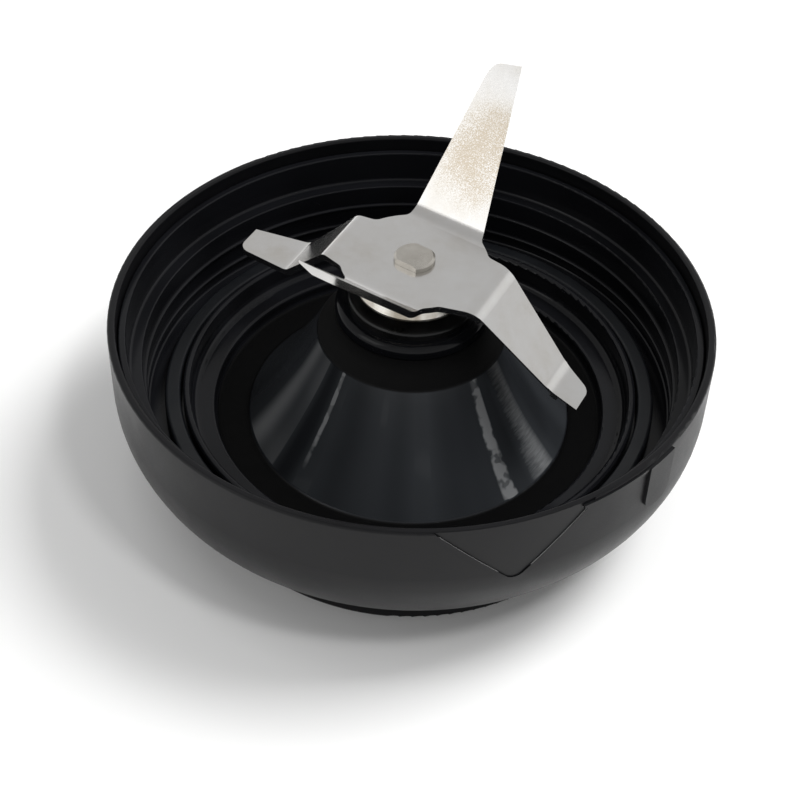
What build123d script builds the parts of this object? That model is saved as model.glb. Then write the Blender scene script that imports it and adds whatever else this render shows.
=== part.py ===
from build123d import *
import os
from math import cos, hypot, radians, sin, sqrt, tan

# Blender blade assembly. The spindle runs along Z, the foot stands on Z = 0, and all sizes are millimetres.
# Radii are measured from the spindle axis and heights from the foot.

# Fits
slip_gap = 0.03          # radial room between nested pieces that are fixed to each other
running_gap = 0.06       # radial room between a turning piece and a fixed one
shell_gap = 0.2          # radial room between the cup and the shell around it
cut_margin = 1.0         # how far a cutting shape reaches past the surface that it cuts

# Outer shell: rim, bowl wall, foot ring and the floor that carries the cup
shell_radius = 55.0
rim_height = 39.0
shell_wall = 1.5
rim_rounding = 0.5
bowl_start = 27.5        # height at which the wall begins to curve in
foot_inset = 14.5        # from the rim's radius in to the foot's
foot_height = 7.5
foot_wall = 2.5
foot_rounding = 0.6
floor_thickness = 2.0
floor_lip = 0.4          # how far the floor reaches in past the cup's skirt
seat_rib_width = 1.2
seat_rib_height = 1.5

# Marks on the outer wall: a sunk alignment arrow, a stretch of proud rim and a locking lug
arrow_angle = -70.3
arrow_width = 28.0
arrow_height = 13.9
arrow_depth = 0.25
arrow_rounding = 2.0
proud_rim_angle = -47.4
proud_rim_span = 21.6
proud_rim_height = 1.1
proud_rim_step = 0.35
lug_angle = -39.6
lug_width = 6.8
lug_height = 10.9
lug_step = 0.6
lug_rounding = 2.6

# Inner cup, from the mouth inward: ledge, bore with ring ridges, gasket channel, lip, shelf, trough and cone
cup_wall = 1.8
cup_drop = 2.75          # from the rim down to the top edge of the cup
mouth_wall = 1.4
ledge_drop = 9.25        # from the rim down to the ledge
ledge_width = 2.5
ridge_drop = 13.8        # from the rim down to the first ring ridge
ridge_pitch = 4.25
ridge_count = 2
ridge_width = 0.9
ridge_step = 0.55
channel_height = 18.5
channel_width = 6.8
lip_width = 1.4
lip_rise = 3.25          # from the channel floor up to the top of the lip
shelf_drop = 1.5         # from the channel floor down to the shelf
shelf_width = 4.4
trough_depth = 3.0
trough_width = 6.1
cone_hollow = 0.8        # how far the cone's side curves in from a straight line
shoulder_width = 2.7     # from the hub's side out to the top edge of the cone
hub_rise = 6.8           # from the top edge of the cone up to the top of the hub
hub_hollow = 1.6         # how far the hub's flank curves in from a straight line
boss_wall = 2.5
skirt_inset = 1.4        # from the trough's outer side in to the skirt
skirt_wall = 2.0
chamfer_width = 3.7
chamfer_height = 5.0
fine_rounding = 0.3
edge_rounding = 0.6
hub_rounding = 1.5
trough_rounding = 1.5

# Gasket in its channel
gasket_gap = 0.4         # from the lip out to the gasket
gasket_width = 3.0
gasket_thickness = 2.5
gasket_rounding = 0.6

# Bearings, the sleeve that holds them and what spaces and keeps them
bearing_bore = 4.0
bearing_radius = 11.0
bearing_width = 7.0
ring_wall = 2.0
ball_radius = 1.98
ball_count = 7
ball_gap = 0.04
cage_wall = 1.7
cage_rim = 0.5
shield_thickness = 0.5
shield_inset = 0.35
shield_seat = 0.4
shield_clearance = 0.2
lower_bearing_height = 14.0
spacer_length = 9.0
spacer_wall = 1.8
sleeve_wall = 1.0
sleeve_tail = 1.0        # sleeve below the retaining ring
sleeve_lip_reach = 1.5
sleeve_lip_thickness = 1.0
retaining_ring_width = 1.0
retaining_ring_reach = 1.3
retaining_ring_gap = 5.0
retaining_groove = 0.6

# Shaft seal and its spring
seal_inset = 1.5         # from the sleeve's radius in to the seal's
seal_depth = 3.2
seal_flange_reach = 1.3
seal_flange_thickness = 1.5
seal_lip_wall = 1.0
seal_pocket_width = 1.6
seal_pocket_depth = 1.8
spring_wire_radius = 0.5

# Spindle and what is carried on it
collar_radius = 10.3
collar_taper = 2.4       # how much the collar narrows towards the blade
collar_edge = 0.6        # upright edge below the taper
collar_neck_wall = 2.0
collar_height = 4.6
collar_gap = 1.5         # room between the seal's flange and the collar
tip_step = 0.3           # how far the tip is turned down from the shaft
tip_flats = 5.8          # width across the flats of the spindle tip
tip_rise = 1.2           # how far the tip stands above the blade
tip_chamfer = 0.4
spindle_end_step = 1.0   # how far the lower end is turned down from the shaft
spindle_end_gap = 0.6
washer_width = 1.9
washer_thickness = 1.0
shaft_clip_reach = 2.2
shaft_clip_thickness = 0.9
shaft_clip_groove = 0.7
shaft_clip_opening = 4.0

# Drive coupling
coupling_gap = 0.6       # room between the coupling and the bearing boss above it
coupling_height = 9.6
coupling_flange_radius = 13.5
coupling_flange_thickness = 2.0
coupling_hub_radius = 8.5
fin_count = 7
fin_inset = 0.4          # from the flange's edge in to the ends of the fins
fin_width = 2.6
fin_rounding = 0.8
insert_flats = 9.0       # width across the flats of the hexagonal insert
insert_floor = 0.6

# Blade: one bent sheet with two raised arms and two lowered arms.
# Seen from above and looking outward along an arm, left is anticlockwise.
sheet = 1.2
raised_bend_radius = 4.0
deep_bend_radius = 5.0
shallow_bend_radius = 2.0
plate_radius = 13.2      # the round middle
plate_fillet = 2.0
tip_rounding = 2.4
raised_angle = 56.8      # direction of the first raised arm
raised_bend = 11.8       # from the axis to the bend line
raised_slope = 45.0
raised_reach = 34.1
raised_root_left = 8.3
raised_root_right = 6.6
raised_tip_left = 6.6
raised_tip_width = 5.7
raised_tip_lag = 0.8
lowered_angle = -25.7    # direction of the first lowered arm
lowered_slope = 45.3
deep_bend = 15.7         # the arm that goes down further
deep_fold = 29.5
deep_reach = 35.2
deep_wing_slope = 16.0
deep_root_left = 6.1
deep_root_right = 7.9
deep_fold_left = 3.0
deep_fold_right = 4.9
deep_tip_left = 0.0
deep_tip_right = 5.6
shallow_bend = 15.0      # the arm that levels out sooner
shallow_fold = 24.8
shallow_reach = 35.8
shallow_root_left = 6.4
shallow_root_right = 6.6
shallow_fold_left = 3.2
shallow_fold_right = 5.9
shallow_tip_left = 1.7
shallow_tip_right = 4.6
bevel_width = 2.6        # ground cutting edge along the right of each arm
bevel_land = 0.3
bevel_runout = 2.0

os.makedirs("parts", exist_ok=True)

# Radii that follow from the sizes above, from the shell inward
foot_radius = shell_radius - foot_inset
shell_inner = shell_radius - shell_wall
cup_outer = shell_inner - shell_gap
mouth_radius = cup_outer - mouth_wall
bore_radius = mouth_radius - ledge_width
bore_outer = bore_radius + cup_wall
lip_outer = bore_radius - channel_width
lip_radius = lip_outer - lip_width
trough_radius = lip_radius - shelf_width
trough_outer = trough_radius + cup_wall
cone_base_radius = trough_radius - trough_width
skirt_radius = trough_radius - skirt_inset
floor_hole_radius = skirt_radius - skirt_wall - floor_lip
gasket_inner_radius = lip_outer + gasket_gap
sleeve_radius = bearing_radius + sleeve_wall
hub_radius = sleeve_radius + boss_wall
cone_top_radius = hub_radius + shoulder_width
seal_radius = sleeve_radius - seal_inset
shaft_radius = bearing_bore - slip_gap
tip_radius = shaft_radius - tip_step
groove_radius = shaft_radius - shaft_clip_groove
spindle_end_radius = shaft_radius - spindle_end_step
collar_top_radius = collar_radius - collar_taper
collar_neck_radius = bearing_bore + collar_neck_wall
seal_bore = collar_neck_radius + running_gap
inner_ring_radius = bearing_bore + ring_wall
outer_ring_radius = bearing_radius - ring_wall
ball_orbit = (inner_ring_radius + outer_ring_radius) / 2
race_radius = ball_radius + ball_gap
cage_half = race_radius + cage_rim
ball_start = 180 / ball_count

# Heights that follow: those of the shell and cup, then those along the spindle from the lower bearing
floor_top = foot_height + floor_thickness
cup_top = rim_height - cup_drop
ledge_height = rim_height - ledge_drop
seat_height = ledge_height - cup_wall
lip_height = channel_height + lip_rise
shelf_height = channel_height - shelf_drop
shelf_underside = shelf_height - cup_wall
trough_height = shelf_height - trough_depth
trough_underside = trough_height - cup_wall
lower_bearing_top = lower_bearing_height + bearing_width
upper_bearing_height = lower_bearing_top + spacer_length
upper_bearing_top = upper_bearing_height + bearing_width
sleeve_top = upper_bearing_top + sleeve_lip_thickness
hub_height = sleeve_top + seal_depth
cone_top_height = hub_height - hub_rise
seal_top = hub_height + seal_flange_thickness
collar_bottom = seal_top + collar_gap
plate_bottom = collar_bottom + collar_height
plate_height = plate_bottom + sheet
tip_top = plate_height + tip_rise
washer_bottom = lower_bearing_height - washer_thickness
shaft_clip_bottom = washer_bottom - shaft_clip_thickness
boss_height = lower_bearing_height - retaining_ring_width - sleeve_tail
coupling_top = boss_height - coupling_gap
coupling_bottom = coupling_top - coupling_height
fin_top = coupling_top - coupling_flange_thickness
insert_bottom = coupling_bottom + insert_floor
spindle_end_height = insert_bottom + spindle_end_gap

# The bowl's outer arc leaves the wall upright and ends at the foot, and the cone is straight underneath
bowl_fall = bowl_start - foot_height
bowl_radius = (foot_inset**2 + bowl_fall**2) / (2 * foot_inset)
bowl_centre = shell_radius - bowl_radius
cone_lean = (cone_base_radius - cone_top_radius) / (cone_top_height - trough_height)
cone_slant = hypot(1, cone_lean)
cone_offset = (cup_wall + cone_hollow) * cone_slant


def shell_inside(height):
    """Radius of the bowl's inner surface at a height below the start of its curve."""
    return bowl_centre + sqrt((bowl_radius - shell_wall) ** 2 - (bowl_start - height) ** 2)


def cone_underside(height):
    """Radius of the cone's inner surface at a height."""
    return cone_base_radius - (height - trough_height) * cone_lean - cone_offset


def corners_at(sketch, *places):
    """The corners of a profile that lie nearest to the given places."""
    return [min(sketch.vertices(), key=lambda v: hypot(v.X - x, v.Y - y)) for x, y in places]


def corners_on_plate(sketch):
    """The corners of a blade plan where an arm leaves the round middle."""
    return [v for v in sketch.vertices() if abs(hypot(v.X, v.Y) - plate_radius) < slip_gap]


def at_axis(root, end):
    """Where the straight edge through two points of an arm passes the axis, as a sideways distance."""
    return root[1] - root[0] * (end[1] - root[1]) / (end[0] - root[0])


def turned_ring(inner, outer, bottom, top):
    """A plain ring about the spindle axis."""
    with BuildPart() as ring:
        with BuildSketch(Plane.XZ):
            with Locations(((inner + outer) / 2, (bottom + top) / 2)):
                Rectangle(outer - inner, top - bottom)
        revolve(axis=Axis.Z)
    return ring.part


def facing_wall(angle):
    """An upright plane through the axis at rim height: x runs round the wall, y is up."""
    outward = (cos(radians(angle)), sin(radians(angle)), 0)
    return Plane(origin=(0, 0, rim_height), x_dir=(-outward[1], outward[0], 0), z_dir=outward)


def along_arm(angle):
    """An upright plane through the axis: x runs outward along an arm, y is up."""
    outward = (cos(radians(angle)), sin(radians(angle)), 0)
    return Plane(origin=(0, 0, 0), x_dir=outward, z_dir=(outward[1], -outward[0], 0))


def ground_edge(angle, root, end, slope, root_height):
    """A wedge that grinds one straight right-hand edge of an arm from below.

    root and end are (outward, left) points of the arm's plan, and slope is the arm's rise in degrees.
    """
    rise = tan(radians(slope))
    outward = (cos(radians(angle)), sin(radians(angle)), 0)
    arm = Plane(origin=(0, 0, root_height), x_dir=outward, z_dir=(0, 0, 1))
    start = arm.from_local_coords(Vector(root[0], root[1], 0))
    finish = arm.from_local_coords(Vector(end[0], end[1], (end[0] - root[0]) * rise))
    surface_normal = arm.from_local_coords(Vector(-rise, 0, 1)) - arm.origin
    edge = finish - start
    fall = (sheet - bevel_land) / bevel_width
    bottom = -sheet - cut_margin * fall
    across = Plane(origin=start, x_dir=surface_normal.cross(edge), z_dir=edge)
    with BuildPart() as wedge:
        with BuildSketch(across.offset(bevel_runout)):
            with BuildLine():
                Polyline((-cut_margin, cut_margin * fall - bevel_land), (bevel_width + cut_margin, bottom),
                         (-cut_margin, bottom), close=True)
            make_face()
        extrude(amount=edge.length - bevel_runout + cut_margin)
    return wedge.part


# Arrow recess: a triangle laid on a thin band of the outer wall
with BuildPart() as arrow_recess:
    add(turned_ring(shell_radius - arrow_depth, shell_radius + cut_margin,
                    rim_height - arrow_height - cut_margin, rim_height + cut_margin))
    with BuildSketch(facing_wall(arrow_angle)) as arrow_outline:
        with BuildLine():
            arrow_half = arrow_width / 2 * (1 + cut_margin / arrow_height)
            Polyline((-arrow_half, cut_margin), (0, -arrow_height), (arrow_half, cut_margin), close=True)
        make_face()
        fillet(corners_at(arrow_outline, (0, -arrow_height)), radius=arrow_rounding)
    extrude(amount=2 * shell_radius, mode=Mode.INTERSECT)

# Proud rim: a short sector of a band round the rim
with BuildPart() as proud_rim:
    add(turned_ring(shell_radius - shell_wall / 2, shell_radius + proud_rim_step,
                    rim_height - proud_rim_height, rim_height - rim_rounding))
    sector_half = 2 * shell_radius * tan(radians(proud_rim_span / 2))
    with BuildSketch(Plane.XY.rotated((0, 0, proud_rim_angle))):
        with BuildLine():
            Polyline((0, 0), (2 * shell_radius, -sector_half), (2 * shell_radius, sector_half), close=True)
        make_face()
    extrude(amount=rim_height, mode=Mode.INTERSECT)

# Locking lug: a rounded pad on the wall just under the rim
with BuildPart() as locking_lug:
    add(turned_ring(shell_radius - shell_wall / 2, shell_radius + lug_step,
                    rim_height - lug_height - cut_margin, rim_height - rim_rounding))
    with BuildSketch(facing_wall(lug_angle)) as lug_outline:
        with Locations((0, -lug_height / 2)):
            Rectangle(lug_width, lug_height)
        fillet(corners_at(lug_outline, (-lug_width / 2, -lug_height), (lug_width / 2, -lug_height)),
               radius=lug_rounding)
    extrude(amount=2 * shell_radius, mode=Mode.INTERSECT)

# Outer shell: one turned profile, then the marks on its wall
with BuildPart() as outer_shell:
    with BuildSketch(Plane.XZ) as shell_profile:
        with BuildLine():
            Polyline((shell_inner, seat_height), (shell_inner, rim_height), (shell_radius, rim_height),
                     (shell_radius, bowl_start))
            TangentArc((shell_radius, bowl_start), (foot_radius, foot_height), tangent=(0, -1))
            Polyline((foot_radius, foot_height), (foot_radius, 0), (foot_radius - foot_wall, 0),
                     (foot_radius - foot_wall, foot_height), (floor_hole_radius, foot_height),
                     (floor_hole_radius, floor_top), (shell_inside(floor_top), floor_top))
            rib_bottom = seat_height - seat_rib_height
            rib_root = shell_inside(rib_bottom)
            ThreePointArc((shell_inside(floor_top), floor_top),
                          (shell_inside((floor_top + rib_bottom) / 2), (floor_top + rib_bottom) / 2),
                          (rib_root, rib_bottom))
            Polyline((rib_root, rib_bottom), (shell_inner - seat_rib_width, rib_bottom),
                     (shell_inner - seat_rib_width, seat_height), (shell_inner, seat_height))
        make_face()
        rim_corners = corners_at(shell_profile, (shell_inner, rim_height), (shell_radius, rim_height))
        fillet(rim_corners, radius=rim_rounding)
        foot_corners = corners_at(shell_profile, (foot_radius, 0), (foot_radius - foot_wall, 0))
        fillet(foot_corners, radius=foot_rounding)
    revolve(axis=Axis.Z)
    add(arrow_recess.part, mode=Mode.SUBTRACT)
    add(proud_rim.part)
    add(locking_lug.part)
outer_shell.part.label = "outer_shell"
export_step(outer_shell.part, "parts/outer_shell.step")

# Inner cup: one turned profile from the mouth down over the channel and trough to the cone, hub and boss
with BuildPart() as inner_cup:
    with BuildSketch(Plane.XZ) as cup_profile:
        cone_middle = ((cone_base_radius + cone_top_radius) / 2 - cone_hollow / cone_slant,
                       (trough_height + cone_top_height) / 2 - cone_hollow * cone_lean / cone_slant)
        flank_middle = ((cone_top_radius + hub_radius) / 2 - hub_hollow, (cone_top_height + hub_height) / 2)
        with BuildLine():
            Polyline((cup_outer, cup_top), (mouth_radius, cup_top), (mouth_radius, ledge_height),
                     (bore_radius, ledge_height), (bore_radius, channel_height), (lip_outer, channel_height),
                     (lip_outer, lip_height), (lip_radius, lip_height), (lip_radius, shelf_height),
                     (trough_radius, shelf_height), (trough_radius, trough_height),
                     (cone_base_radius, trough_height))
            ThreePointArc((cone_base_radius, trough_height), cone_middle, (cone_top_radius, cone_top_height))
            ThreePointArc((cone_top_radius, cone_top_height), flank_middle, (hub_radius, hub_height))
            Polyline((hub_radius, hub_height), (seal_radius + slip_gap, hub_height),
                     (seal_radius + slip_gap, sleeve_top), (sleeve_radius + slip_gap, sleeve_top),
                     (sleeve_radius + slip_gap, boss_height), (hub_radius, boss_height),
                     (hub_radius, trough_height + (cone_base_radius - cone_offset - hub_radius) / cone_lean),
                     (cone_underside(trough_underside), trough_underside),
                     (skirt_radius - skirt_wall, trough_underside), (skirt_radius - skirt_wall, floor_top),
                     (skirt_radius, floor_top), (skirt_radius, trough_underside),
                     (trough_outer, trough_underside),
                     (trough_outer, shelf_underside), (bore_outer - chamfer_width, shelf_underside),
                     (bore_outer, shelf_underside + chamfer_height), (bore_outer, seat_height),
                     (cup_outer, seat_height), (cup_outer, cup_top))
        make_face()
        fillet(corners_at(cup_profile, (cup_outer, cup_top), (mouth_radius, cup_top),
                          (bore_radius, ledge_height)), radius=fine_rounding)
        fillet(corners_at(cup_profile, (mouth_radius, ledge_height), (bore_radius, channel_height),
                          (lip_outer, lip_height), (lip_radius, lip_height), (trough_radius, shelf_height),
                          (cone_top_radius, cone_top_height)), radius=edge_rounding)
        fillet(corners_at(cup_profile, (lip_radius, shelf_height), (trough_radius, trough_height),
                          (cone_base_radius, trough_height)), radius=trough_rounding)
        fillet(corners_at(cup_profile, (hub_radius, hub_height)), radius=hub_rounding)
        for i in range(ridge_count):
            with Locations((bore_radius, rim_height - ridge_drop - i * ridge_pitch)):
                Ellipse(ridge_step, ridge_width / 2)
    revolve(axis=Axis.Z)
inner_cup.part.label = "inner_cup"
export_step(inner_cup.part, "parts/inner_cup.step")

# Sealing gasket: a rubber ring on the channel floor
with BuildPart() as sealing_gasket:
    with BuildSketch(Plane.XZ) as gasket_profile:
        with Locations((gasket_inner_radius + gasket_width / 2, channel_height + gasket_thickness / 2)):
            RectangleRounded(gasket_width, gasket_thickness, gasket_rounding)
    revolve(axis=Axis.Z)
sealing_gasket.part.label = "sealing_gasket"
export_step(sealing_gasket.part, "parts/sealing_gasket.step")

# Bearing sleeve: a steel tube with an inward lip on top and a groove for the retaining ring
with BuildPart() as bearing_sleeve:
    add(turned_ring(bearing_radius + slip_gap, sleeve_radius, boss_height, sleeve_top))
    add(turned_ring(bearing_radius - sleeve_lip_reach, sleeve_radius, upper_bearing_top, sleeve_top))
    add(turned_ring(bearing_radius, bearing_radius + retaining_groove,
                    lower_bearing_height - retaining_ring_width - slip_gap, lower_bearing_height),
        mode=Mode.SUBTRACT)
bearing_sleeve.part.label = "bearing_sleeve"
export_step(bearing_sleeve.part, "parts/bearing_sleeve.step")

# Bearing retaining ring: an open ring that snaps into the sleeve's groove
with BuildPart() as bearing_retaining_ring:
    add(turned_ring(bearing_radius - retaining_ring_reach, bearing_radius + retaining_groove - slip_gap,
                    lower_bearing_height - retaining_ring_width, lower_bearing_height))
    with Locations((0, -bearing_radius, lower_bearing_height)):
        Box(retaining_ring_gap, bearing_radius, 2 * retaining_ring_width + cut_margin, mode=Mode.SUBTRACT)
bearing_retaining_ring.part.label = "bearing_retaining_ring"
export_step(bearing_retaining_ring.part, "parts/bearing_retaining_ring.step")

# Shaft seal: a rubber body with a running lip, a spring pocket behind it and a flange on the hub
with BuildPart() as shaft_seal:
    seal_flange_radius = seal_radius + seal_flange_reach
    pocket_inner = seal_bore + seal_lip_wall
    pocket_outer = pocket_inner + seal_pocket_width
    pocket_top = sleeve_top + seal_pocket_depth
    with BuildSketch(Plane.XZ) as seal_profile:
        with BuildLine():
            Polyline((seal_bore, sleeve_top), (pocket_inner, sleeve_top), (pocket_inner, pocket_top),
                     (pocket_outer, pocket_top), (pocket_outer, sleeve_top),
                     (seal_radius, sleeve_top), (seal_radius, hub_height), (seal_flange_radius, hub_height),
                     (seal_flange_radius, seal_top),
                     (seal_bore, seal_top), close=True)
        make_face()
        fillet(corners_at(seal_profile, (seal_flange_radius, seal_top)),
               radius=edge_rounding)
    revolve(axis=Axis.Z)
shaft_seal.part.label = "shaft_seal"
export_step(shaft_seal.part, "parts/shaft_seal.step")

# Garter spring: a closed ring that presses the seal lip on the collar
with BuildPart() as seal_garter_spring:
    with BuildSketch(Plane.XZ):
        with Locations((pocket_inner + slip_gap + spring_wire_radius, sleeve_top + seal_pocket_depth / 2)):
            Circle(spring_wire_radius)
    revolve(axis=Axis.Z)
seal_garter_spring.part.label = "seal_garter_spring"
export_step(seal_garter_spring.part, "parts/seal_garter_spring.step")

# Two ball bearings, each made of an inner ring, an outer ring, balls, a cage and a pair of shields
for place, bottom in (("upper", upper_bearing_height), ("lower", lower_bearing_height)):
    middle = bottom + bearing_width / 2
    shield_depth = shield_inset + shield_thickness

    with BuildPart() as inner_ring:
        with BuildSketch(Plane.XZ):
            with Locations(((bearing_bore + inner_ring_radius) / 2, middle)):
                Rectangle(inner_ring_radius - bearing_bore, bearing_width)
            with Locations((ball_orbit, middle)):
                Circle(race_radius, mode=Mode.SUBTRACT)
        revolve(axis=Axis.Z)
    inner_ring.part.label = f"{place}_bearing_inner_ring"
    export_step(inner_ring.part, f"parts/{place}_bearing_inner_ring.step")

    with BuildPart() as outer_ring:
        with BuildSketch(Plane.XZ):
            with Locations(((outer_ring_radius + bearing_radius) / 2, middle)):
                Rectangle(bearing_radius - outer_ring_radius, bearing_width)
            with Locations((outer_ring_radius, bottom), (outer_ring_radius, bottom + bearing_width)):
                Rectangle(2 * shield_seat, 2 * shield_depth, mode=Mode.SUBTRACT)
            with Locations((ball_orbit, middle)):
                Circle(race_radius, mode=Mode.SUBTRACT)
        revolve(axis=Axis.Z)
    outer_ring.part.label = f"{place}_bearing_outer_ring"
    export_step(outer_ring.part, f"parts/{place}_bearing_outer_ring.step")

    with BuildPart() as balls:
        with Locations((0, 0, middle)):
            with PolarLocations(ball_orbit, ball_count, start_angle=ball_start):
                Sphere(ball_radius)
    balls.part.label = f"{place}_bearing_balls"
    export_step(balls.part, f"parts/{place}_bearing_balls.step")

    with BuildPart() as cage:
        add(turned_ring(ball_orbit - cage_wall / 2, ball_orbit + cage_wall / 2,
                        middle - cage_half, middle + cage_half))
        with Locations((0, 0, middle)):
            with PolarLocations(ball_orbit, ball_count, start_angle=ball_start):
                Cylinder(race_radius, 2 * cage_wall, rotation=(0, 90, 0), mode=Mode.SUBTRACT)
    cage.part.label = f"{place}_bearing_cage"
    export_step(cage.part, f"parts/{place}_bearing_cage.step")

    with BuildPart() as shields:
        for low in (bottom + shield_inset, bottom + bearing_width - shield_depth):
            add(turned_ring(inner_ring_radius + shield_clearance, outer_ring_radius + shield_seat - slip_gap,
                            low, low + shield_thickness))
    shields.part.label = f"{place}_bearing_shields"
    export_step(shields.part, f"parts/{place}_bearing_shields.step")

# Bearing spacer: a tube between the two inner rings
with BuildPart() as bearing_spacer:
    add(turned_ring(bearing_bore, bearing_bore + spacer_wall, lower_bearing_top, upper_bearing_height))
bearing_spacer.part.label = "bearing_spacer"
export_step(bearing_spacer.part, "parts/bearing_spacer.step")

# Spindle: a turned shaft with two flats at the tip, a clip groove and a thinner threaded end
with BuildPart() as spindle:
    with BuildSketch(Plane.XZ) as spindle_profile:
        with BuildLine():
            Polyline((0, spindle_end_height), (spindle_end_radius, spindle_end_height),
                     (spindle_end_radius, coupling_top), (shaft_radius, coupling_top),
                     (shaft_radius, plate_bottom), (tip_radius, plate_bottom), (tip_radius, tip_top),
                     (0, tip_top), close=True)
        make_face()
        chamfer(corners_at(spindle_profile, (tip_radius, tip_top)), length=tip_chamfer)
    revolve(axis=Axis.Z)
    add(turned_ring(groove_radius, shaft_radius + cut_margin, shaft_clip_bottom, washer_bottom),
        mode=Mode.SUBTRACT)
    with BuildSketch(Plane.XY.offset(plate_bottom).rotated((0, 0, raised_angle))):
        Circle(shaft_radius + cut_margin)
        Rectangle(tip_flats, 2 * shaft_radius + 4 * cut_margin, mode=Mode.SUBTRACT)
    extrude(amount=sheet + tip_rise + cut_margin, mode=Mode.SUBTRACT)
spindle.part.label = "spindle"
export_step(spindle.part, "parts/spindle.step")

# Blade collar: the bright tapered ring under the blade, with a neck in the seal that rests on the bearing
with BuildPart() as blade_collar:
    with BuildSketch(Plane.XZ) as collar_profile:
        with BuildLine():
            Polyline((bearing_bore, upper_bearing_top), (collar_neck_radius, upper_bearing_top),
                     (collar_neck_radius, collar_bottom), (collar_radius, collar_bottom),
                     (collar_radius, collar_bottom + collar_edge), (collar_top_radius, plate_bottom),
                     (bearing_bore, plate_bottom), close=True)
        make_face()
        fillet(corners_at(collar_profile, (collar_radius, collar_bottom), (collar_top_radius, plate_bottom)),
               radius=fine_rounding)
    revolve(axis=Axis.Z)
blade_collar.part.label = "blade_collar"
export_step(blade_collar.part, "parts/blade_collar.step")

# Thrust washer and shaft clip under the lower bearing
with BuildPart() as thrust_washer:
    add(turned_ring(bearing_bore, bearing_bore + washer_width, washer_bottom, lower_bearing_height))
thrust_washer.part.label = "thrust_washer"
export_step(thrust_washer.part, "parts/thrust_washer.step")

shaft_clip_radius = bearing_bore + shaft_clip_reach
with BuildPart() as shaft_clip:
    add(turned_ring(groove_radius + slip_gap, shaft_clip_radius, shaft_clip_bottom, washer_bottom))
    with Locations((0, shaft_clip_radius / 2, shaft_clip_bottom)):
        Box(shaft_clip_opening, shaft_clip_radius + cut_margin, 2 * shaft_clip_thickness + cut_margin,
            mode=Mode.SUBTRACT)
shaft_clip.part.label = "shaft_clip"
export_step(shaft_clip.part, "parts/shaft_clip.step")

# Coupling insert: a hexagonal nut moulded into the coupling and screwed on the spindle
with BuildPart() as coupling_insert:
    with BuildSketch(Plane.XY.offset(insert_bottom)):
        RegularPolygon(insert_flats / 2, 6, major_radius=False)
        Circle(spindle_end_radius + slip_gap, mode=Mode.SUBTRACT)
    extrude(amount=coupling_top - insert_bottom)
coupling_insert.part.label = "coupling_insert"
export_step(coupling_insert.part, "parts/coupling_insert.step")

# Drive coupling: a hub with a flange on top and a ring of driving fins
with BuildPart() as drive_coupling:
    with BuildSketch(Plane.XY.offset(fin_top)):
        Circle(coupling_flange_radius)
    extrude(amount=coupling_flange_thickness)
    fin_reach = coupling_flange_radius - fin_inset
    with BuildSketch(Plane.XY.offset(coupling_bottom)) as fin_outline:
        with PolarLocations(0, fin_count):
            with Locations((fin_reach / 2, 0)):
                Rectangle(fin_reach, fin_width)
        fillet(fin_outline.vertices().group_by(lambda v: round(hypot(v.X, v.Y), 3))[-1], radius=fin_rounding)
        Circle(coupling_hub_radius)
    extrude(amount=fin_top - coupling_bottom)
    with BuildSketch(Plane.XY.offset(insert_bottom)):
        RegularPolygon(insert_flats / 2 + slip_gap, 6, major_radius=False)
    extrude(amount=coupling_top - insert_bottom, mode=Mode.SUBTRACT)
drive_coupling.part.label = "drive_coupling"
export_step(drive_coupling.part, "parts/drive_coupling.step")

# Plan of one raised arm: x runs outward from the axis, y to the left
with BuildSketch() as raised_arm:
    raised_corner = (raised_reach - raised_tip_lag, raised_tip_left)
    raised_point = (raised_reach, raised_tip_left - raised_tip_width)
    with BuildLine():
        Polyline((0, at_axis((raised_bend, -raised_root_right), raised_point)), raised_point, raised_corner,
                 (0, at_axis((raised_bend, raised_root_left), raised_corner)), close=True)
    make_face()
    fillet(corners_at(raised_arm, raised_corner), radius=tip_rounding)

# Plans of the two lowered arms, each with a kink in its edges at the second fold
with BuildSketch() as deep_arm:
    deep_left = (deep_fold, deep_fold_left)
    deep_right = (deep_fold, -deep_fold_right)
    deep_corner = (deep_reach, deep_tip_left)
    deep_point = (deep_reach, -deep_tip_right)
    with BuildLine():
        Polyline((0, at_axis((deep_bend, -deep_root_right), deep_right)), deep_right, deep_point, deep_corner,
                 deep_left, (0, at_axis((deep_bend, deep_root_left), deep_left)), close=True)
    make_face()
    fillet(corners_at(deep_arm, deep_corner), radius=tip_rounding)

with BuildSketch() as shallow_arm:
    shallow_left = (shallow_fold, shallow_fold_left)
    shallow_right = (shallow_fold, -shallow_fold_right)
    shallow_corner = (shallow_reach, shallow_tip_left)
    shallow_point = (shallow_reach, -shallow_tip_right)
    with BuildLine():
        Polyline((0, at_axis((shallow_bend, -shallow_root_right), shallow_right)), shallow_right,
                 shallow_point, shallow_corner, shallow_left,
                 (0, at_axis((shallow_bend, shallow_root_left), shallow_left)), close=True)
    make_face()
    fillet(corners_at(shallow_arm, shallow_corner), radius=tip_rounding)

# Raised pair: a strip bent up at both ends, trimmed to its plan
strip_reach = raised_reach + deep_reach
with BuildPart() as raised_pair:
    raised_end_height = plate_height + (strip_reach - raised_bend) * tan(radians(raised_slope))
    with BuildSketch(along_arm(raised_angle)):
        with BuildLine():
            FilletPolyline((-strip_reach, raised_end_height), (-raised_bend, plate_height),
                           (raised_bend, plate_height), (strip_reach, raised_end_height),
                           radius=raised_bend_radius)
            offset(amount=sheet, side=Side.RIGHT)
        make_face()
    extrude(amount=2 * plate_radius, both=True)
    with BuildSketch(Plane.XY.rotated((0, 0, raised_angle))) as raised_plan:
        Circle(plate_radius)
        with PolarLocations(0, 2):
            add(raised_arm.sketch)
        fillet(corners_on_plate(raised_plan), radius=plate_fillet)
    extrude(amount=2 * plate_height, mode=Mode.INTERSECT)

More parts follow.
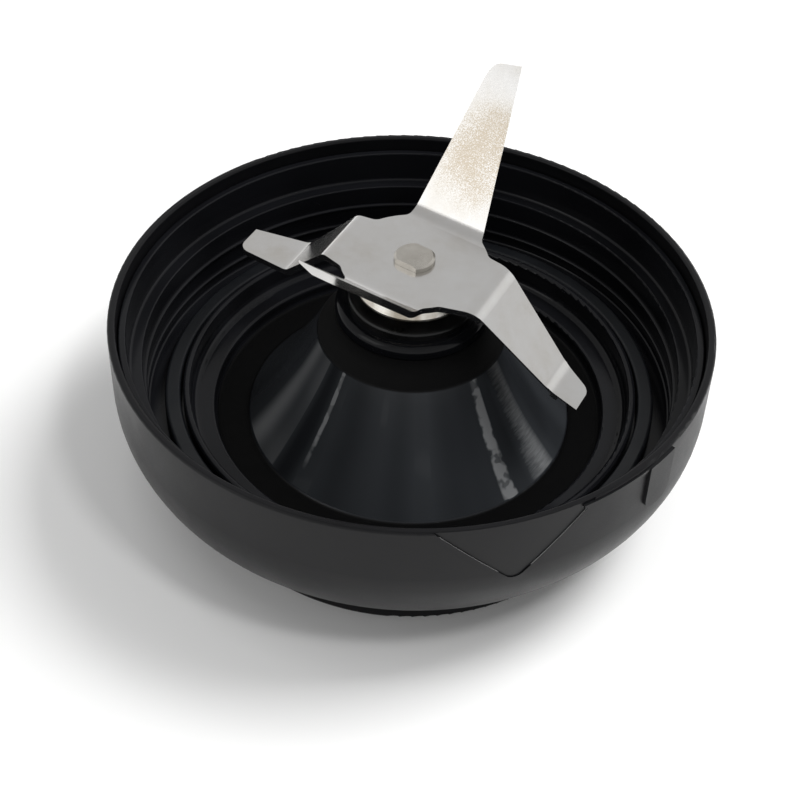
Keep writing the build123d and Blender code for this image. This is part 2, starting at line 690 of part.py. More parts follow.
# Blade: the lowered pair, bent down and folded level again, joined to the raised pair, bored and ground
with BuildPart() as blade:
    deep_fold_height = plate_height - (deep_fold - deep_bend) * tan(radians(lowered_slope))
    deep_end_height = deep_fold_height - (strip_reach - deep_fold) * tan(radians(deep_wing_slope))
    shallow_fold_height = plate_height - (shallow_fold - shallow_bend) * tan(radians(lowered_slope))
    with BuildSketch(along_arm(lowered_angle)):
        with BuildLine():
            FilletPolyline((-strip_reach, shallow_fold_height), (-shallow_fold, shallow_fold_height),
                           (-shallow_bend, plate_height), (deep_bend, plate_height),
                           (deep_fold, deep_fold_height), (strip_reach, deep_end_height),
                           radius=[shallow_bend_radius] * 2 + [deep_bend_radius] * 2)
            offset(amount=sheet, side=Side.RIGHT)
        make_face()
    extrude(amount=2 * plate_radius, both=True)
    with BuildSketch(Plane.XY.rotated((0, 0, lowered_angle))) as lowered_plan:
        Circle(plate_radius)
        add(deep_arm.sketch)
        with Locations(Rot(0, 0, 180)):
            add(shallow_arm.sketch)
        fillet(corners_on_plate(lowered_plan), radius=plate_fillet)
        flat_half = raised_bend - raised_bend_radius * tan(radians(raised_slope / 2))
        with Locations(Rot(0, 0, raised_angle - lowered_angle)):
            Rectangle(2 * flat_half, 2 * strip_reach, mode=Mode.INTERSECT)
    extrude(amount=2 * plate_height, mode=Mode.INTERSECT)
    add(raised_pair.part)
    with BuildSketch(Plane.XY.rotated((0, 0, raised_angle))):
        Circle(tip_radius + slip_gap)
        Rectangle(tip_flats + 2 * slip_gap, 4 * tip_radius, mode=Mode.INTERSECT)
    extrude(amount=2 * plate_height, mode=Mode.SUBTRACT)
    for turn in (raised_angle, raised_angle + 180):
        add(ground_edge(turn, (raised_bend, -raised_root_right), raised_point, raised_slope, plate_height),
            mode=Mode.SUBTRACT)
    add(ground_edge(lowered_angle, (deep_bend, -deep_root_right), deep_right, -lowered_slope, plate_height),
        mode=Mode.SUBTRACT)
    add(ground_edge(lowered_angle, deep_right, deep_point, -deep_wing_slope, deep_fold_height),
        mode=Mode.SUBTRACT)
    add(ground_edge(lowered_angle + 180, (shallow_bend, -shallow_root_right), shallow_right, -lowered_slope,
                    plate_height), mode=Mode.SUBTRACT)
    add(ground_edge(lowered_angle + 180, shallow_right, shallow_point, 0, shallow_fold_height),
        mode=Mode.SUBTRACT)
blade.part.label = "blade"
export_step(blade.part, "parts/blade.step")
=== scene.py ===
"""Looks of a blender blade assembly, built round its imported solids.

Metres throughout. The spindle runs along +Z, the foot stands on Z = 0, +X is to the right and +Y is away.
"""
import math

import bpy
import numpy as np
from mathutils import Matrix, Vector


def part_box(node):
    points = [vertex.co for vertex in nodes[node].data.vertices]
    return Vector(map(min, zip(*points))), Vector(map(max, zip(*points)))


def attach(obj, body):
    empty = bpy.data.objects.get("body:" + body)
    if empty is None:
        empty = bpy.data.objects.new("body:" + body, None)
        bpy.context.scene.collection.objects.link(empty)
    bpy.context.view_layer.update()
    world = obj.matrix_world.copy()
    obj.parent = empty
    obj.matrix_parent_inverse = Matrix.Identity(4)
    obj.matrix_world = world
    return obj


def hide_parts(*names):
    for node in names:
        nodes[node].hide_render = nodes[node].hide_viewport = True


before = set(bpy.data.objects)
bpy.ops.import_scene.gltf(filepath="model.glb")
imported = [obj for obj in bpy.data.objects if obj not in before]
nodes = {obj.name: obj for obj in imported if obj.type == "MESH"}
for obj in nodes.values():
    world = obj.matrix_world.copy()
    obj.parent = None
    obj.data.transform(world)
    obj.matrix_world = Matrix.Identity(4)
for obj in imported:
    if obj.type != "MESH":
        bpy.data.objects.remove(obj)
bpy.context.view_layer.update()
scene = bpy.context.scene
scene.view_settings.view_transform = "Standard"

MM = 0.001
WHITE = (1, 1, 1, 1)


# Node helpers for the finishes and the stage

def add_node(tree, kind, links=(), operation=None, **sockets):
    """Adds a node, sets its sockets by name, and links others by name or index."""
    made = tree.nodes.new(kind)
    if operation:
        made.operation = operation
    for key, value in sockets.items():
        made.inputs[key].default_value = value
    for key, source in dict(links).items():
        tree.links.new(source, made.inputs[key])
    return made


def arithmetic(tree, operation, first, second):
    """One arithmetic step on two values, either of which may be a plain number."""
    made = add_node(tree, "ShaderNodeMath", operation=operation)
    for slot, value in enumerate((first, second)):
        if isinstance(value, (int, float)):
            made.inputs[slot].default_value = value
        else:
            tree.links.new(value, made.inputs[slot])
    return made.outputs["Value"]


def map_range(tree, value, low, high, start, stop):
    """Maps start..stop of a value to low..high, clamped."""
    limits = {"From Min": start, "From Max": stop, "To Min": low, "To Max": high}
    return add_node(tree, "ShaderNodeMapRange", {"Value": value}, **limits).outputs["Result"]


def colour_ramp(tree, value, stops):
    """Colour ramp: stops are (place, (r, g, b))."""
    ramp = add_node(tree, "ShaderNodeValToRGB", {"Fac": value})
    band = ramp.color_ramp
    while len(band.elements) < len(stops):
        band.elements.new(1.0)
    for element, (place, colour) in zip(band.elements, stops):
        element.position = place
        element.color = (*colour, 1.0)
    return ramp.outputs["Color"]


class Finish:
    """A material whose colour, gloss and relief are worked out from Object coordinates."""

    SOCKETS = {"colour": "Base Color", "rough": "Roughness", "metal": "Metallic", "normal": "Normal",
               "gloss": "Specular IOR Level"}

    def __init__(self, name):
        self.material = bpy.data.materials.new(name)
        self.material.use_nodes = True
        self.tree = self.material.node_tree
        self.tree.nodes.clear()
        self.shader = self.node("ShaderNodeBsdfPrincipled")
        self.node("ShaderNodeOutputMaterial", {"Surface": self.shader.outputs["BSDF"]})
        self.where = self.node("ShaderNodeTexCoord").outputs["Object"]

    def node(self, kind, links=(), operation=None, **sockets):
        """Adds a node to this material."""
        return add_node(self.tree, kind, links, operation, **sockets)

    def stretch(self, scale, turn=(0, 0, 0)):
        """Object coordinates scaled per axis, after a turn."""
        made = self.node("ShaderNodeMapping", {"Vector": self.where}, Rotation=turn, Scale=scale)
        return made.outputs["Vector"]

    def noise(self, size_mm, detail=3.0, roughness=0.5, where=None):
        """Cloudy value from 0 to 1 whose lumps are about size_mm across."""
        made = self.node("ShaderNodeTexNoise", {"Vector": where or self.where}, Scale=1000.0 / size_mm,
                         Detail=detail, Roughness=roughness)
        return made.outputs["Fac"]

    def specks(self, gap_mm, size, patch_mm, patch_start, patch_stop, strength=1.0):
        """Small dots about gap_mm apart, kept only in patches of about patch_mm."""
        cells = self.node("ShaderNodeTexVoronoi", {"Vector": self.where}, Scale=1000.0 / gap_mm)
        dots = self.spread(cells.outputs["Distance"], 1.0, 0.0, 0.0, size)
        patches = self.spread(self.noise(patch_mm), 0.0, strength, patch_start, patch_stop)
        return self.sums("MULTIPLY", dots, patches)

    def spread(self, value, low, high, start=0.0, stop=1.0):
        """Maps start..stop of a value to low..high, clamped."""
        return map_range(self.tree, value, low, high, start, stop)

    def sums(self, operation, first, second):
        """One arithmetic step on two values, either of which may be a plain number."""
        return arithmetic(self.tree, operation, first, second)

    def total(self, *weighed):
        """Sum of values, each times its own weight."""
        parts = [value if weight == 1.0 else self.sums("MULTIPLY", value, weight)
                 for value, weight in weighed]
        whole = parts[0]
        for part in parts[1:]:
            whole = self.sums("ADD", whole, part)
        return whole

    def tints(self, value, stops):
        """Colour from a value by a ramp of (place, (r, g, b)) stops."""
        return colour_ramp(self.tree, value, stops)

    def relief(self, height, depth_mm, strength=1.0, under=None):
        """Bump from a height value, depth_mm high, laid over another bump."""
        links = {"Height": height} if under is None else {"Height": height, "Normal": under}
        return self.node("ShaderNodeBump", links, Strength=strength, Distance=depth_mm * MM).outputs["Normal"]

    def flat(self):
        """Vector from the spindle axis straight out to the spot."""
        made = self.node("ShaderNodeVectorMath", {0: self.where}, "MULTIPLY")
        made.inputs[1].default_value = (1, 1, 0)
        return made.outputs["Vector"]

    def round_axis(self):
        """Distance from the spindle axis, in metres."""
        return self.node("ShaderNodeVectorMath", {0: self.flat()}, "LENGTH").outputs["Value"]

    def around(self):
        """Unit vector that points from the spindle axis out to the spot."""
        return self.node("ShaderNodeVectorMath", {0: self.flat()}, "NORMALIZE").outputs["Vector"]

    def height(self):
        """Height above the foot, in metres."""
        return self.node("ShaderNodeSeparateXYZ", {"Vector": self.where}).outputs["Z"]

    def between(self, value, low_mm, high_mm, soft_mm):
        """1 where a length lies between two limits, with soft ends outside them."""
        rise = self.spread(value, 0.0, 1.0, (low_mm - soft_mm) * MM, low_mm * MM)
        fall = self.spread(value, 1.0, 0.0, high_mm * MM, (high_mm + soft_mm) * MM)
        return self.sums("MULTIPLY", rise, fall)

    def zone(self, heights_mm, radii_mm, soft_up_mm=0.4, soft_out_mm=0.4):
        """1 in a ring round the axis, given by its range of heights and its range of radii."""
        return self.sums("MULTIPLY", self.between(self.height(), *heights_mm, soft_up_mm),
                         self.between(self.round_axis(), *radii_mm, soft_out_mm))

    def spoke(self, degrees, half_width):
        """1 along one direction round the axis, falling to 0 half_width degrees to either side."""
        a = math.radians(degrees)
        made = self.node("ShaderNodeVectorMath", {0: self.around()}, "DOT_PRODUCT")
        made.inputs[1].default_value = (math.cos(a), math.sin(a), 0)
        return self.spread(made.outputs["Value"], 0.0, 1.0, math.cos(math.radians(half_width)), 1.0)

    def near(self, spot_mm, inner_mm, outer_mm):
        """1 within inner_mm of a spot, falling to 0 at outer_mm."""
        made = self.node("ShaderNodeVectorMath", {0: self.where}, "DISTANCE")
        made.inputs[1].default_value = tuple(v * MM for v in spot_mm)
        return self.spread(made.outputs["Value"], 1.0, 0.0, inner_mm * MM, outer_mm * MM)

    def set(self, **sockets):
        """Sets the shader's own sockets; a node output is linked and a number is written."""
        for key, value in sockets.items():
            socket = self.shader.inputs[self.SOCKETS[key]]
            if isinstance(value, bpy.types.NodeSocket):
                self.tree.links.new(value, socket)
            else:
                socket.default_value = value
        return self.material


# Finishes

def satin_moulding(name, dark, light, rough, grain_mm, grain_depth_mm, marked_radius_mm=None):
    """Spark-eroded black moulding: fine even grain, faint flow clouds and a few pale dust specks.

    With marked_radius_mm, the step that sinks a mark into the wall at that radius is painted paler, a painted
    highlight for the thin light line it catches.
    """
    f = Finish(name)
    clouds = f.noise(14, 4, 0.6)
    grain = f.noise(grain_mm, 2, 0.6)
    dust = f.specks(2.6, 0.035, 9, 0.62, 0.66, strength=0.8)
    shade = f.sums("MAXIMUM", f.total((clouds, 0.5), (grain, 0.2)), dust)
    # Painted highlight: the step round the sunk mark gets a pale colour for the light line it catches.
    if marked_radius_mm:
        mark_heights = (28.0, 38.0)
        step_radii = (marked_radius_mm - 0.225, marked_radius_mm - 0.06)
        shade = f.sums("MAXIMUM", shade, f.zone(mark_heights, step_radii, soft_out_mm=0.015))
    paler = tuple(2.2 * c for c in light)
    painted_step_highlight = (0.30, 0.30, 0.30)
    colour = f.tints(shade, [(0.15, dark), (0.55, light), (0.8, paler), (1.0, painted_step_highlight)])
    gloss = f.sums("ADD", f.spread(clouds, rough - 0.06, rough + 0.06, 0.3, 0.7),
                   f.spread(grain, -0.04, 0.04, 0.3, 0.7))
    return f.set(colour=colour, rough=gloss, normal=f.relief(grain, grain_depth_mm, 0.6), gloss=0.2)


def cup_moulding(name):
    """Polished black moulding: slow waviness, wipe marks and dust.

    The cone is satin, and its paler colour, which varies slowly round the axis, is a painted reflection of
    the surroundings. The streaks down its slope and its pale and dark sides are painted reflections. The
    trough round the cone and the hub's flank above it are rough and painted nearly black: painted shade.
    """
    f = Finish(name)
    wave = f.noise(16, 1, 0.4)
    wipes = f.noise(1.0, 3, 0.65, f.stretch((0.35, 0.35, 3.0)))
    dust = f.specks(1.9, 0.03, 11, 0.6, 0.66)
    cone = f.zone((14.6, 33.9), (0.0, 30.7))
    # Painted shade: the trough and the hub's flank are darkened to nearly black, and also made rougher.
    trough = f.zone((13.0, 14.2), (30.8, 40.0))
    flank = f.zone((34.4, 38.5), (0.0, 18.0))
    dull_painted_shade = f.sums("MAXIMUM", trough, flank)

    # Painted reflections on the cone: a paler colour varying round the axis, a broken bright streak, a thin
    # streak and a soft streak down the slope, and a pale and a dark side at fixed places round the axis.
    painted_reflection_bands = f.spread(f.noise(260, 0, 0.5, f.around()), 0.46, 0.62, 0.35, 0.65)
    patchy = f.spread(f.noise(3.2, 2, 0.6), 0.25, 1.0, 0.42, 0.58)
    upper_slope = f.spread(f.height(), 0.0, 0.6, 17 * MM, 26 * MM)
    thin_painted_streak = f.sums("MULTIPLY", f.spoke(-132, 1.4), upper_slope)
    broken_painted_streak = f.sums("MULTIPLY", f.total((f.spoke(-50, 3.6), 0.62), (thin_painted_streak, 1.0)), patchy)
    soft_painted_streak = f.sums("MULTIPLY", f.spoke(-33, 8), f.spread(wipes, 0.3, 1.0))
    painted_pale_side, painted_dark_side = f.spoke(-157, 17), f.spoke(-139, 6)
    painted_sheen = f.total((painted_reflection_bands, 1.0), (broken_painted_streak, 1.0), (soft_painted_streak, 0.32), (painted_pale_side, 0.2), (painted_dark_side, -0.3))

    shade = f.sums("ADD", f.spread(wave, 0.10, 0.17, 0.3, 0.7), f.sums("MULTIPLY", cone, painted_sheen))
    shade = f.sums("SUBTRACT", f.sums("MAXIMUM", shade, dust), dull_painted_shade)
    # The ramp's top stop is the bright painted highlight in the streak cores; dust specks also reach it.
    colour = f.tints(shade, [(0.0, (0.0004, 0.0004, 0.0005)), (0.14, (0.0068, 0.0071, 0.0086)),
                             (0.5, (0.015, 0.0165, 0.019)), (0.78, (0.034, 0.037, 0.041)),
                             (1.0, (0.21, 0.215, 0.22))])
    polish = f.spread(wipes, 0.15, 0.20, 0.3, 0.75)
    gloss = f.total((polish, 1.0), (cone, 0.05), (f.sums("MAXIMUM", dust, dull_painted_shade), 0.6))
    skin = f.relief(wave, 0.02, 0.5)
    return f.set(colour=colour, rough=gloss, normal=f.relief(wipes, 0.002, 0.3, skin), gloss=0.18)


def moulded_rubber(name, dark, light, rough):
    """Dull rubber: soft blotches, talc bloom and a fine pebbled skin."""
    f = Finish(name)
    bloom = f.noise(6, 4, 0.65)
    skin = f.noise(0.35, 2, 0.5)
    colour = f.tints(bloom, [(0.3, dark), (0.7, light)])
    gloss = f.spread(bloom, rough - 0.08, rough + 0.1, 0.3, 0.7)
    return f.set(colour=colour, rough=gloss, normal=f.relief(skin, 0.02, 0.4), gloss=0.35)


def blade_steel(name):
    """Polished stainless sheet: fine speckle, faint drawn lines, slow brownish mottling and one darker
    brownish patch round a fixed spot on the raised arm.
    """
    f = Finish(name)
    drawn_angle = math.radians(33)
    patch_spot = (11.9, 18.2, 60)
    speckle = f.noise(0.22, 2, 0.6)
    mottle = f.noise(9, 4, 0.6)
    drawn = f.noise(0.5, 2, 0.6, f.stretch((0.06, 1.6, 1.6), (0, 0, drawn_angle)))
    # A darker, brownish, speckled patch round one spot on the raised arm.
    brownish_patches = f.sums("MULTIPLY", f.near(patch_spot, 3, 13), f.spread(speckle, 0.1, 1.0, 0.35, 0.65))
    shade = f.total((mottle, 0.8), (speckle, 0.2), (brownish_patches, -0.95))
    colour = f.tints(shade, [(0.05, (0.44, 0.385, 0.31)), (0.3, (0.56, 0.54, 0.505)),
                             (0.5, (0.61, 0.60, 0.585)), (0.7, (0.64, 0.637, 0.63))])
    gloss = f.sums("ADD", f.spread(speckle, 0.17, 0.22, 0.3, 0.7), f.spread(drawn, -0.015, 0.015, 0.3, 0.7))
    lines = f.relief(drawn, 0.001, 0.3)
    return f.set(colour=colour, rough=gloss, metal=1.0, normal=f.relief(speckle, 0.0012, 0.4, lines))


def turned_metal(name, dark, light, rough, pitch_mm, painted_streak_fan=0.0):
    """Lathe-turned metal: fine feed rings round the axis over a slow tarnish, and optional streaks round the
    axis that are painted reflections.
    """
    f = Finish(name)
    along = f.sums("ADD", f.round_axis(), f.height())
    feed = f.sums("SINE", f.sums("MULTIPLY", along, 2 * math.pi / (pitch_mm * MM)), 0.0)
    wander = f.noise(0.7, 3, 0.7, f.stretch((0.12, 0.12, 6.0)))
    tarnish = f.noise(3.0, 4, 0.6)
    shade = f.total((tarnish, 0.65), (wander, 0.35))
    # Painted reflection: lighter and darker streaks round the axis, as turned metal mirrors its surroundings.
    if painted_streak_fan:
        shade = f.sums("ADD", shade, f.spread(f.noise(420, 2, 0.5, f.around()), -painted_streak_fan, painted_streak_fan, 0.35, 0.65))
    colour = f.tints(shade, [(0.3, dark), (0.7, light)])
    gloss = f.spread(wander, rough - 0.06, rough + 0.08, 0.3, 0.7)
    rings = f.relief(feed, 0.004, 0.35)
    return f.set(colour=colour, rough=gloss, metal=1.0, normal=f.relief(wander, 0.006, 0.3, rings))


def ground_steel(name, dark, light, rough):
    """Ground and polished bearing steel: fine grinding lines and a thin film of oil."""
    f = Finish(name)
    lines = f.noise(0.25, 2, 0.7, f.stretch((0.1, 0.1, 5.0)))
    film = f.noise(2.5, 3, 0.6)
    colour = f.tints(film, [(0.3, dark), (0.7, light)])
    gloss = f.sums("ADD", f.spread(lines, rough - 0.04, rough + 0.06, 0.3, 0.7), f.spread(film, -0.02, 0.03))
    return f.set(colour=colour, rough=gloss, metal=1.0, normal=f.relief(lines, 0.002, 0.4))


def oiled_spring_steel(name):
    """Hardened spring steel: blue-black oxide with browner oil stains and fine pitting."""
    f = Finish(name)
    brownish_patches = f.noise(1.8, 5, 0.65)
    pits = f.noise(0.2, 2, 0.7)
    oxide, worn, oil = (0.05, 0.055, 0.07), (0.10, 0.10, 0.11), (0.14, 0.105, 0.07)
    colour = f.tints(brownish_patches, [(0.3, oxide), (0.55, worn), (0.8, oil)])
    gloss = f.sums("ADD", f.spread(brownish_patches, 0.25, 0.42, 0.3, 0.7), f.spread(pits, -0.05, 0.05))
    return f.set(colour=colour, rough=gloss, metal=0.9, normal=f.relief(pits, 0.01, 0.5))


def moulded_nylon(name):
    """Ivory cage nylon: soft clouds, slightly waxy, with a fine skin."""
    f = Finish(name)
    clouds = f.noise(2.2, 4, 0.6)
    skin = f.noise(0.3, 2, 0.5)
    colour = f.tints(clouds, [(0.3, (0.56, 0.50, 0.38)), (0.7, (0.70, 0.65, 0.53))])
    gloss = f.spread(skin, 0.38, 0.52, 0.3, 0.7)
    return f.set(colour=colour, rough=gloss, normal=f.relief(skin, 0.015, 0.4), gloss=0.5)


shell_satin = satin_moulding("shell_satin_black", (0.0035, 0.0035, 0.0042), (0.0062, 0.0062, 0.0072), 0.38,
                             grain_mm=0.18, grain_depth_mm=0.008, marked_radius_mm=55.0)
coupling_satin = satin_moulding("coupling_glass_filled", (0.032, 0.032, 0.033), (0.055, 0.055, 0.057), 0.5,
                                grain_mm=0.3, grain_depth_mm=0.03)
cup_gloss = cup_moulding("cup_polished_black")
gasket_rubber = moulded_rubber("gasket_blue_grey", (0.004, 0.0046, 0.0058), (0.0065, 0.0074, 0.009), 0.45)
seal_rubber = moulded_rubber("seal_black_rubber", (0.003, 0.003, 0.003), (0.006, 0.006, 0.0065), 0.3)
sheet_steel = blade_steel("blade_tumbled_steel")
# The collar carries painted reflection streaks round its axis.
collar_steel = turned_metal("collar_turned_steel", (0.50, 0.45, 0.37), (0.93, 0.90, 0.83), 0.36, 0.22,
                            painted_streak_fan=0.3)
spindle_steel = turned_metal("spindle_turned_steel", (0.42, 0.395, 0.355), (0.58, 0.555, 0.51), 0.3, 0.3)
sleeve_steel = turned_metal("sleeve_zinc_plated", (0.44, 0.45, 0.47), (0.60, 0.61, 0.62), 0.32, 0.35)
spacer_metal = turned_metal("spacer_turned_aluminium", (0.62, 0.63, 0.64), (0.76, 0.77, 0.78), 0.3, 0.3)
insert_brass = turned_metal("insert_turned_brass", (0.56, 0.38, 0.14), (0.78, 0.58, 0.27), 0.28, 0.4)
washer_brass = turned_metal("washer_stamped_brass", (0.50, 0.33, 0.12), (0.74, 0.53, 0.23), 0.34, 0.6)
ring_steel = ground_steel("bearing_ring_steel", (0.52, 0.52, 0.53), (0.66, 0.66, 0.66), 0.14)
ball_steel = ground_steel("bearing_ball_steel", (0.60, 0.60, 0.60), (0.74, 0.74, 0.74), 0.07)
shield_steel = ground_steel("shield_pressed_steel", (0.46, 0.46, 0.46), (0.60, 0.60, 0.60), 0.26)
clip_steel = oiled_spring_steel("clip_oiled_spring_steel")
spring_wire = ground_steel("garter_drawn_wire", (0.50, 0.50, 0.49), (0.66, 0.65, 0.64), 0.2)
cage_nylon = moulded_nylon("cage_ivory_nylon")

FINISHES = {
    "outer_shell": shell_satin, "inner_cup": cup_gloss, "sealing_gasket": gasket_rubber,
    "bearing_sleeve": sleeve_steel, "bearing_retaining_ring": clip_steel, "shaft_seal": seal_rubber,
    "seal_garter_spring": spring_wire, "upper_bearing_outer_ring": ring_steel,
    "lower_bearing_outer_ring": ring_steel, "upper_bearing_shields": shield_steel,
    "lower_bearing_shields": shield_steel, "blade": sheet_steel, "spindle": spindle_steel,
    "blade_collar": collar_steel, "upper_bearing_inner_ring": ring_steel,
    "lower_bearing_inner_ring": ring_steel, "bearing_spacer": spacer_metal, "thrust_washer": washer_brass,
    "shaft_clip": clip_steel, "drive_coupling": coupling_satin, "coupling_insert": insert_brass,
    "upper_bearing_balls": ball_steel, "lower_bearing_balls": ball_steel,
    "upper_bearing_cage": cage_nylon, "lower_bearing_cage": cage_nylon,
}
SHADOW_EASING = 0.25    # softens the edge between light and shade across the solids' facets


def dress(piece, finish):
    """Gives a piece one finish in all its material slots."""
    piece.data.materials.clear()
    piece.data.materials.append(finish)


for name, finish in FINISHES.items():
    dress(nodes[name], finish)
    nodes[name].cycles.shadow_terminator_offset = SHADOW_EASING
    nodes[name].cycles.shadow_terminator_geometry_offset = SHADOW_EASING


# New pieces: surfaces on a grid of two parameters

def closed_grid_piece(name, points, body, replaced, finish):
    """A mesh from an array of points[i, j, xyz], closed in both directions, that stands in for a solid."""
    rows, columns = points.shape[:2]
    index = np.arange(rows * columns).reshape(rows, columns)
    index = np.concatenate([index, index[:, :1]], axis=1)
    index = np.concatenate([index, index[:1]], axis=0)
    quads = np.stack([index[:-1, :-1], index[:-1, 1:], index[1:, 1:], index[1:, :-1]], axis=-1).reshape(-1, 4)
    mesh = bpy.data.meshes.new(name)
    mesh.vertices.add(rows * columns)
    mesh.vertices.foreach_set("co", points.astype(np.float32).ravel())
    mesh.loops.add(quads.size)
    mesh.loops.foreach_set("vertex_index", quads.astype(np.int32).ravel())
    mesh.polygons.add(len(quads))
    mesh.polygons.foreach_set("loop_start", np.arange(0, quads.size, 4, dtype=np.int32))
    mesh.update(calc_edges=True)
    mesh.validate()
    mesh.polygons.foreach_set("use_smooth", np.ones(len(quads), dtype=bool))
    piece = bpy.data.objects.new(name, mesh)
    scene.collection.objects.link(piece)
    dress(piece, finish)
    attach(piece, body)
    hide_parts(replaced)


def garter_spring():
    """Coiled ring: a thin wire wound on a tube whose own centre line is a circle round the spindle.

    The wire's centre at turn angle t is the tube's circle at angle t / coils, plus the coil radius in the
    direction t of the tube's section; the wire's skin is a small circle across the wire's own direction.
    """
    coils, steps_per_coil, wire_sides = 64, 20, 8
    wire_radius = 0.14 * MM
    low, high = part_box("seal_garter_spring")
    section = (high.z - low.z) / 2
    middle = (high.z + low.z) / 2
    ring_radius = high.x - section
    coil_radius = section - wire_radius
    t = np.linspace(0, 2 * math.pi * coils, coils * steps_per_coil, endpoint=False)
    u = np.linspace(0, 2 * math.pi, wire_sides, endpoint=False)
    turn = t / coils
    outward = np.stack([np.cos(turn), np.sin(turn), np.zeros_like(turn)], axis=-1)
    up = np.array([0.0, 0.0, 1.0])
    spoke = np.cos(t)[:, None] * outward + np.sin(t)[:, None] * up
    centre = ring_radius * outward + coil_radius * spoke + middle * up
    forward = np.roll(centre, -1, axis=0) - np.roll(centre, 1, axis=0)
    forward /= np.linalg.norm(forward, axis=-1, keepdims=True)
    side = np.cross(forward, spoke)
    side /= np.linalg.norm(side, axis=-1, keepdims=True)
    spoke = np.cross(side, forward)
    circle = np.cos(u)[None, :, None] * spoke[:, None] + np.sin(u)[None, :, None] * side[:, None]
    closed_grid_piece("garter_spring_coil", centre[:, None] + wire_radius * circle, "base",
                      "seal_garter_spring", spring_wire)


garter_spring()


# Stage: floor, lamps, world and camera

def floor():
    """A wide pale sheet just under the foot, with a painted shadow that dims it near the foot, white far away
    and clear from underneath.
    """
    half, drop = 3.0, 0.03 * MM
    corners = [(x * half, y * half, -drop) for x, y in ((-1, -1), (1, -1), (1, 1), (-1, 1))]
    mesh = bpy.data.meshes.new("floor")
    mesh.from_pydata(corners, [], [(0, 1, 2, 3)])
    sheet = bpy.data.objects.new("floor", mesh)
    scene.collection.objects.link(sheet)
    material = bpy.data.materials.new("floor_pale")
    material.use_nodes = True
    tree = material.node_tree
    tree.nodes.clear()
    paper = add_node(tree, "ShaderNodeBsdfDiffuse", Color=(0.93, 0.93, 0.925, 1))
    seen = add_node(tree, "ShaderNodeLightPath").outputs
    shown = arithmetic(tree, "MAXIMUM", seen["Is Camera Ray"], seen["Is Glossy Ray"])
    spot = add_node(tree, "ShaderNodeTexCoord").outputs["Object"]
    away = add_node(tree, "ShaderNodeVectorMath", {0: spot}, "LENGTH").outputs["Value"]
    far = map_range(tree, away, low=0.115, high=0.75, start=0.25, stop=1.2)
    # Painted shadow: the floor's lift drops within about 56 mm of the axis, darkening the floor round the
    # foot.
    painted_contact_shadow = map_range(tree, away, low=-0.09, high=0.0, start=0.045, stop=0.056)
    glow = arithmetic(tree, "MULTIPLY", shown, arithmetic(tree, "ADD", far, painted_contact_shadow))
    lift = add_node(tree, "ShaderNodeEmission", {"Strength": glow}, Color=WHITE)
    lit = add_node(tree, "ShaderNodeAddShader", {0: paper.outputs[0], 1: lift.outputs[0]})
    clear = add_node(tree, "ShaderNodeBsdfTransparent")
    below = add_node(tree, "ShaderNodeNewGeometry").outputs["Backfacing"]
    pick = add_node(tree, "ShaderNodeMixShader", {0: below, 1: lit.outputs[0], 2: clear.outputs[0]})
    add_node(tree, "ShaderNodeOutputMaterial", {"Surface": pick.outputs[0]})
    mesh.materials.append(material)


def softbox(name, azimuth, elevation, distance, size, watts, mirrored=True):
    """A square lamp that faces the blade from a direction given in degrees from +X and above the floor."""
    lamp = bpy.data.lights.new(name, "AREA")
    lamp.shape = "SQUARE"
    lamp.size = size
    lamp.energy = watts
    item = bpy.data.objects.new(name, lamp)
    a, e = math.radians(azimuth), math.radians(elevation)
    toward = Vector((math.cos(a) * math.cos(e), math.sin(a) * math.cos(e), math.sin(e)))
    item.location = Vector((0, 0, 30 * MM)) + toward * distance
    item.rotation_euler = toward.to_track_quat("Z", "Y").to_euler()
    item.visible_camera = False
    item.visible_glossy = mirrored
    scene.collection.objects.link(item)


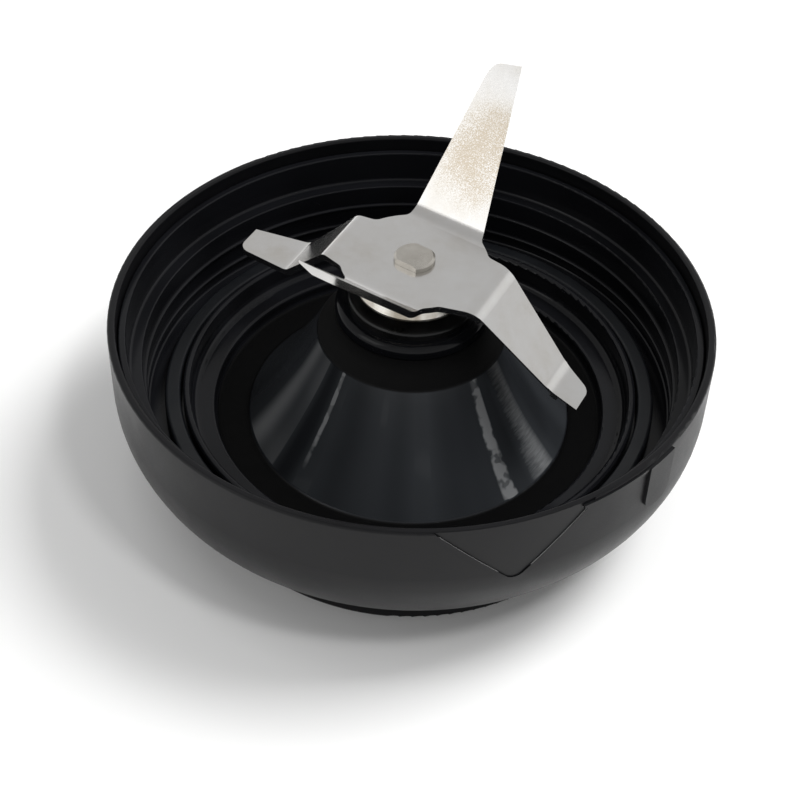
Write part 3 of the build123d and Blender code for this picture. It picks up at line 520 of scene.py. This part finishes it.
def room():
    """Pale surroundings: white at the horizon and greyer overhead in mirrors, dimmer as a source of light."""
    diffuse_level = 0.38
    mirrored_levels = ((0.0, 1.0), (0.3, 0.74), (0.7, 0.66), (1.0, 0.5))
    world = bpy.data.worlds.new("pale_room")
    world.use_nodes = True
    tree = world.node_tree
    tree.nodes.clear()
    place = add_node(tree, "ShaderNodeTexCoord").outputs["Generated"]
    upward = add_node(tree, "ShaderNodeSeparateXYZ", {0: place}).outputs["Z"]
    greys = colour_ramp(tree, upward, [(up, (level, level, level)) for up, level in mirrored_levels])
    seen = add_node(tree, "ShaderNodeLightPath").outputs
    mirrored = arithmetic(tree, "MAXIMUM", seen["Is Glossy Ray"], seen["Is Transmission Ray"])
    light = add_node(tree, "ShaderNodeBackground", Color=WHITE, Strength=diffuse_level)
    mirror = add_node(tree, "ShaderNodeBackground", {"Color": greys}, Strength=1.0)
    backdrop = add_node(tree, "ShaderNodeBackground", Color=WHITE, Strength=1.0)
    unseen = add_node(tree, "ShaderNodeMixShader", {0: mirrored, 1: light.outputs[0], 2: mirror.outputs[0]})
    whole = add_node(tree, "ShaderNodeMixShader",
                     {0: seen["Is Camera Ray"], 1: unseen.outputs[0], 2: backdrop.outputs[0]})
    add_node(tree, "ShaderNodeOutputWorld", {"Surface": whole.outputs[0]})
    scene.world = world


def camera():
    """Camera at the photograph's place: pitch down, small yaw and roll, square frame."""
    pitch, yaw, roll = 0.76080595, -0.0072348, 0.0368523
    stand = Vector((0, -0.2284967, 0.2331922))
    focal_pixels, frame_pixels, sensor_mm = 1648.0266, 800, 36.0
    forward = Vector((math.sin(yaw) * math.cos(pitch), math.cos(yaw) * math.cos(pitch), -math.sin(pitch)))
    right = forward.cross(Vector((0, 0, 1))).normalized()
    up = right.cross(forward)
    c, s = math.cos(roll), math.sin(roll)
    right, up = c * right + s * up, c * up - s * right
    data = bpy.data.cameras.new("photo_camera")
    data.sensor_width = sensor_mm
    data.lens = sensor_mm * focal_pixels / frame_pixels
    data.clip_start, data.clip_end = 0.01, 20.0
    item = bpy.data.objects.new("photo_camera", data)
    place = Matrix((right, up, -forward)).transposed().to_4x4()
    place.translation = stand
    item.matrix_world = place
    scene.collection.objects.link(item)
    scene.camera = item


floor()
softbox("key_right", azimuth=16, elevation=58, distance=1.2, size=0.5, watts=10.5, mirrored=False)
softbox("glint_right", azimuth=31, elevation=31, distance=1.2, size=0.4, watts=0.15)
softbox("fill_left", azimuth=207, elevation=37, distance=1.2, size=0.6, watts=1.35)
softbox("spot_front", azimuth=-50, elevation=60, distance=1.0, size=0.12, watts=1.6, mirrored=False)
room()
camera()
